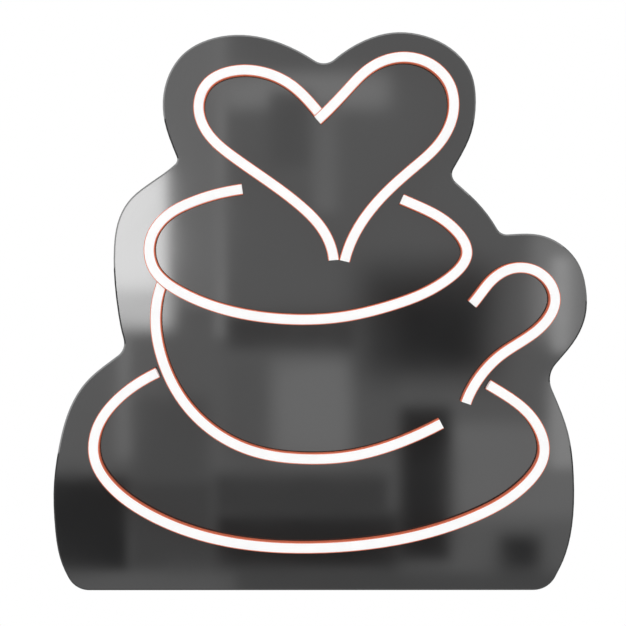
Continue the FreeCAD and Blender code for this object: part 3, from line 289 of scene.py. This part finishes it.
def stud_threads(form):
    """Coarse wood thread on the part of each stud that goes into the wall."""
    length = stud_high.y - WALL - THREAD_START - 2 * THREAD_HALF_ROOT
    turns = length / THREAD_PITCH
    steps = int(turns * TURN_STEPS)
    for x, z in STUDS:
        rings = []
        for step in range(steps + 1):
            turn = step / TURN_STEPS
            rise = min(1.0, turn / THREAD_RUN_OUT, (turns - turn) / THREAD_RUN_OUT)
            y = WALL + THREAD_START + THREAD_PITCH * turn
            across = turned(2 * math.pi * turn)
            foot = Vector((x, y, z)) + across * (STUD_RADIUS - THREAD_SINK)
            crest = foot + across * (THREAD_SINK + THREAD_HEIGHT * max(rise, THREAD_LEAST_RISE))
            side = Vector((0, THREAD_HALF_ROOT, 0))
            top = side * THREAD_CREST
            rings.append([foot - side, crest - top, crest + top, foot + side])
        skin(form, rings, False)


boss_low, boss_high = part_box("mount_bosses")
BEAD_STEPS = 64
# The bead's section: out from the boss's side and up from the back of the board.
BEAD_PROFILE = ((-0.0002, 0.0), (0.0013, 0.0), (0.0008, 0.00018), (0.00035, 0.00055), (0.0, 0.0011),
                (-0.0002, 0.0011))
# Its waves: share of its size, how many in one turn, and their shift per metre of the boss's place.
LONG_WAVE = (0.12, 3, 40)
SHORT_WAVE = (0.06, 7, 90)


def wave(kind, angle, place):
    """How much a wave adds to the bead at an angle, for a boss at a place."""
    share, count, shift = kind
    return share * math.sin(count * angle + shift * place)


def boss_beads(form):
    """Bead of adhesive squeezed out round each boss, a little uneven."""
    radius = (boss_high.x - boss_low.x - (STUDS[-1][0] - STUDS[0][0])) / 2
    for x, z in STUDS:
        rings = []
        for step in range(BEAD_STEPS):
            angle = 2 * math.pi * step / BEAD_STEPS
            swell = 1 + wave(LONG_WAVE, angle, x) + wave(SHORT_WAVE, angle, z)
            across = turned(angle)
            centre = Vector((x, board_high.y, z))
            rings.append([centre + across * (radius + (out * swell if out > 0 else out))
                          + Vector((0, up * swell, 0)) for out, up in BEAD_PROFILE])
        skin(form, rings, True)


# The rocker's two faces, by how many degrees they are turned from facing down while it is at rest.
PRESSED_FACE = (0, 4)
RAISED_FACE = (12, 24)
HINGE_LEAN = 0.02               # most that a face's normal may lean along the hinge
INK_LIFT = 0.00006              # above the rocker's face, and as deep in it
MARK_HALF_LENGTH = 0.0017       # of the bar; also the ring's outer radius
MARK_HALF_STROKE = 0.00035
RING_STEPS = 40
# The bar's outline in half strokes across and half lengths along.
BAR_OUTLINE = ((-1, -0.94), (-0.7, -1), (0.7, -1), (1, -0.94),
               (1, 0.94), (0.7, 1), (-0.7, 1), (-1, 0.94))


def mark_frame(turn):
    """Middle, outward direction and the two directions in the plane of one of the rocker's faces."""
    least, most = turn
    down = Vector((0, 0, -1))
    picked = [face for face in nodes["switch_rocker"].data.polygons
              if least <= math.degrees(face.normal.angle(down)) < most
              and abs(face.normal.y) < HINGE_LEAN]
    total = sum(face.area for face in picked)
    middle = sum((face.center * face.area for face in picked), Vector()) / total
    outward = sum((face.normal * face.area for face in picked), Vector()).normalized()
    along = Vector((0, 1, 0))
    return middle, outward, along, along.cross(outward).normalized()


def bar_mark(form):
    """Printed bar for on, on the face that is pressed at rest."""
    middle, outward, along, across = mark_frame(PRESSED_FACE)
    rings = []
    for lift in (-INK_LIFT, INK_LIFT):
        rings.append([middle + outward * lift + across * a * MARK_HALF_STROKE
                      + along * b * MARK_HALF_LENGTH for a, b in BAR_OUTLINE])
    skin(form, rings, False)


def ring_mark(form):
    """Printed ring for off, on the other face."""
    middle, outward, along, across = mark_frame(RAISED_FACE)
    rings = []
    for step in range(RING_STEPS):
        angle = 2 * math.pi * step / RING_STEPS
        ray = across * math.cos(angle) + along * math.sin(angle)
        rings.append([middle + ray * (MARK_HALF_LENGTH + out * MARK_HALF_STROKE) + outward * lift
                      for out, lift in ((-2, -INK_LIFT), (0, -INK_LIFT), (0, INK_LIFT), (-2, INK_LIFT))])
    skin(form, rings, True)


mesh_piece("stud_threads", stud_threads, MATERIALS["zinc_steel"], "sign")
mesh_piece("boss_beads", boss_beads, CURED_ADHESIVE, "sign")
mesh_piece("rocker_mark_on", bar_mark, MARK_INK, "rocker")
mesh_piece("rocker_mark_off", ring_mark, MARK_INK, "rocker")


# --- Studio ---
SKY_STRENGTH = (0.55, 1.15)     # from below and from above
SKY_HEIGHT = (-0.6, 0.9)        # the directions' Z between which it grows from one to the other


def studio_world():
    """White backdrop for the camera, and soft light that is strongest from above."""
    world = bpy.data.worlds.new("studio")
    bpy.context.scene.world = world
    world.use_nodes = True
    graph = Graph(world.node_tree)
    seen = graph.add("ShaderNodeBackground")
    seen.inputs["Color"].default_value = (1, 1, 1, 1)
    light = graph.add("ShaderNodeBackground")
    direction = graph.add("ShaderNodeTexCoord").outputs["Generated"]
    parts = graph.add("ShaderNodeSeparateXYZ")
    graph.link(direction, parts.inputs["Vector"])
    strength = graph.fit(parts.outputs["Z"], *SKY_STRENGTH, *SKY_HEIGHT)
    graph.link(strength, light.inputs["Strength"])
    mix = graph.add("ShaderNodeMixShader")
    graph.link(graph.add("ShaderNodeLightPath").outputs["Is Camera Ray"], mix.inputs["Fac"])
    graph.link(light.outputs["Background"], mix.inputs[1])
    graph.link(seen.outputs["Background"], mix.inputs[2])
    graph.link(mix.outputs["Shader"], graph.add("ShaderNodeOutputWorld").inputs["Surface"])


def quad(name, corners, material):
    """Flat sheet that belongs to the stage."""
    mesh = bpy.data.meshes.new(name)
    mesh.from_pydata(corners, [], [tuple(range(len(corners)))])
    mesh.materials.append(material)
    made = bpy.data.objects.new(name, mesh)
    bpy.context.scene.collection.objects.link(made)
    return made


def for_reflections(sheet):
    """Only mirrored rays see the sheet, so it lights nothing and isn't in the picture."""
    sheet.visible_camera = False
    sheet.visible_diffuse = False
    sheet.visible_shadow = False
    sheet.visible_transmission = False


def emitting(name):
    """Material that only gives off light, with its graph and its light node.

    It is left out of light sampling, because only mirrored rays are meant to find it.
    """
    material = bpy.data.materials.new(name)
    material.use_nodes = True
    graph = Graph(material.node_tree)
    light = graph.add("ShaderNodeEmission")
    output = graph.add("ShaderNodeOutputMaterial")
    graph.link(light.outputs["Emission"], output.inputs["Surface"])
    material.cycles.emission_sampling = "NONE"
    return material, graph, light


def area_light(name, place, target, side, power):
    """Square soft lamp, not in the picture itself."""
    data = bpy.data.lights.new(name, "AREA")
    data.shape = "SQUARE"
    data.size = side
    data.energy = power
    lamp = bpy.data.objects.new(name, data)
    bpy.context.scene.collection.objects.link(lamp)
    lamp.location = place
    lamp.rotation_mode = "QUATERNION"
    lamp.rotation_quaternion = (Vector(target) - Vector(place)).to_track_quat("-Z", "Y")
    lamp.visible_camera = False


# What the glossy board mirrors: a painted reflection, soft panels of a dim room painted on an emitting
# sheet behind the camera. Each row is the part of the board where the panel is mirrored (x from, to;
# height above the lower edge from, to, in mm), how soft its edges are in mm, and how bright the panel
# is.
PANELS = [
    (-210, -78, 212, 430, 5, 3.03),      # pale wall beside the curtain
    (-79, -70, 190, 430, 4, 3.78),       # curtain's edge
    (-70, 52, 362, 388, 8, 4.08),        # ceiling light behind the heart
    (-38, -6, 318, 374, 6, 1.58),
    (-5, 13, 284, 362, 7, 2.78),
    (-230, -114, 222, 318, 4, 17.88),    # window
    (-230, -112, 197, 224, 9, 12.28),
    (-230, -116, 95, 185, 8, 2.28),      # wall under the window
    (-152, -142, 100, 190, 4, 3.88),
    (-140, -84, 85, 145, 8, 1.43),
    (-70, 25, 181, 207, 6, 0.83),        # shelf
    (-70, 60, 98, 172, 7, 1.78),
    (-36, 24, 98, 174, 9, 3.28),         # lit doorway
    (30, 132, 160, 244, 20, 0.58),       # plant
    (60, 114, 170, 216, 14, 0.22),
    (100, 200, 54, 126, 9, 2.88),        # pale cabinet
    (158, 205, 190, 270, 8, 3.78),       # right wall
    (174, 188, 180, 250, 5, 7.88),
    (172, 194, 92, 160, 6, 5.28),
    (-80, 52, 58, 88, 8, 0.83),          # seat
    (-80, 60, 15, 58, 8, 0.33),
    (60, 98, 22, 138, 6, 0.24),          # vase
    (-210, -143, 14, 86, 6, 0.24),       # dark floor
    (-143, -80, 14, 84, 8, 1.03),
    (134, 166, 14, 42, 8, 0.28),
    (-210, -64, -10, 13, 3, 2.03),
    (-64, 210, -10, 13, 3, 1.13),
]
PANEL_BASE = 2.03               # how bright the room is where no panel is
PANEL_DISTANCE = 0.36           # from the camera back to the sheet
ROOM_SIDE = 260                 # half the sheet's width, in the panels' mm
ROOM_LOW = -60                  # its lower and its upper edge
ROOM_HIGH = 470
MM_PER_M = 1000


def painted_room_reflection():
    """One emitting sheet behind the camera that only reflections see: it paints the room's reflection on
    the board.
    """
    material, graph, light = emitting("painted_reflection_light")
    place = graph.add("ShaderNodeSeparateXYZ")
    graph.link(graph.add("ShaderNodeTexCoord").outputs["Object"], place.inputs["Vector"])

    def span(axis, start, end, soft):
        """1 between two places along an axis and 0 outside them, with soft edges."""
        value = place.outputs[axis]
        rising = graph.fit(value, 0.0, 1.0, start - soft, start + soft, "SMOOTHSTEP")
        falling = graph.fit(value, 1.0, 0.0, end - soft, end + soft, "SMOOTHSTEP")
        return graph.product(rising, falling)

    # each panel paints a lighter or darker patch of the board's painted reflection
    level = None
    for left, right, low, high, soft, bright in PANELS:
        mask = graph.product(span("X", left, right, soft), span("Z", low, high, soft))
        mix = graph.add("ShaderNodeMix", data_type="FLOAT")
        graph.link(mask, mix.inputs["Factor"])
        if level is None:
            mix.inputs["A"].default_value = PANEL_BASE
        else:
            graph.link(level, mix.inputs["A"])
        mix.inputs["B"].default_value = bright
        level = mix.outputs["Result"]
    graph.link(level, light.inputs["Strength"])
    corners = [(-ROOM_SIDE, 0, ROOM_LOW), (ROOM_SIDE, 0, ROOM_LOW),
               (ROOM_SIDE, 0, ROOM_HIGH), (-ROOM_SIDE, 0, ROOM_HIGH)]
    sheet = quad("painted_reflection_panels", corners, material)
    # the sheet is drawn in the board's millimetres and spread to where those points are mirrored
    reach = 1 + (CAMERA_DISTANCE + PANEL_DISTANCE) / CAMERA_DISTANCE
    scale = reach / MM_PER_M
    sheet.scale = (scale, scale, scale)
    sheet.location = (-eye.x * (reach - 1), FRONT - CAMERA_DISTANCE - PANEL_DISTANCE,
                      board_low.z * reach - eye.z * (reach - 1))
    for_reflections(sheet)


SIDE_LIGHT_REACH = 1.3          # from the middle of the sign to the sheets beside and above it
SIDE_LIGHT_DEPTH = 0.4          # on either side of the front of the board
# Their names, their two ends as (x, z) in units of the reach, and how bright they are.
SIDE_LIGHTS = (
    ("left_light", [(-1, 0), (-1, 1)], 5.0),
    ("top_light", [(-1, 1), (1, 1)], 4.5),
    ("right_light", [(1, 1), (1, 0)], 2.6),
)


def side_lights():
    """Sheets beside and above the board, seen by reflections alone: its bevels mirror them."""
    near, far = FRONT - SIDE_LIGHT_DEPTH, FRONT + SIDE_LIGHT_DEPTH
    for name, ends, bright in SIDE_LIGHTS:
        material, _, light = emitting(name)
        light.inputs["Strength"].default_value = bright
        (x0, z0), (x1, z1) = [(x * SIDE_LIGHT_REACH, z * SIDE_LIGHT_REACH) for x, z in ends]
        corners = [(x0, near, z0), (x1, near, z1), (x1, far, z1), (x0, far, z0)]
        for_reflections(quad(name, corners, material))


FLOOR_DROP = 1.6                # below the board, because the sign hangs on a wall
FLOOR_HALF = 12.0               # half the side of the square floor


def studio_floor():
    """Plain pale floor."""
    paint = surface("floor_paint", low=(0.86, 0.86, 0.85), high=(0.90, 0.90, 0.89), rough=(0.7, 0.8),
                    scale=1.5)
    height = board_low.z - FLOOR_DROP
    quad("floor", [(x * FLOOR_HALF, y * FLOOR_HALF, height)
                   for x, y in ((-1, -1), (1, -1), (1, 1), (-1, 1))], paint)


TUBES_MIDDLE = (0, -0.03, 0)    # what the front lamps point at
WALL_MIDDLE = (0, 0, 0)         # what the back lamps point at
# Their names, places, targets, sides in metres and powers in watts.
LAMPS = (
    ("key", (-1.6, -1.9, 1.7), TUBES_MIDDLE, 1.2, 22),
    ("fill", (1.9, -1.3, 0.7), TUBES_MIDDLE, 1.4, 9),
    ("back_key", (1.4, 1.9, 1.5), WALL_MIDDLE, 1.2, 22),
    ("back_fill", (-1.9, 1.2, 0.5), WALL_MIDDLE, 1.4, 8),
)

studio_floor()
studio_world()
painted_room_reflection()
side_lights()
for lamp_row in LAMPS:
    area_light(*lamp_row)
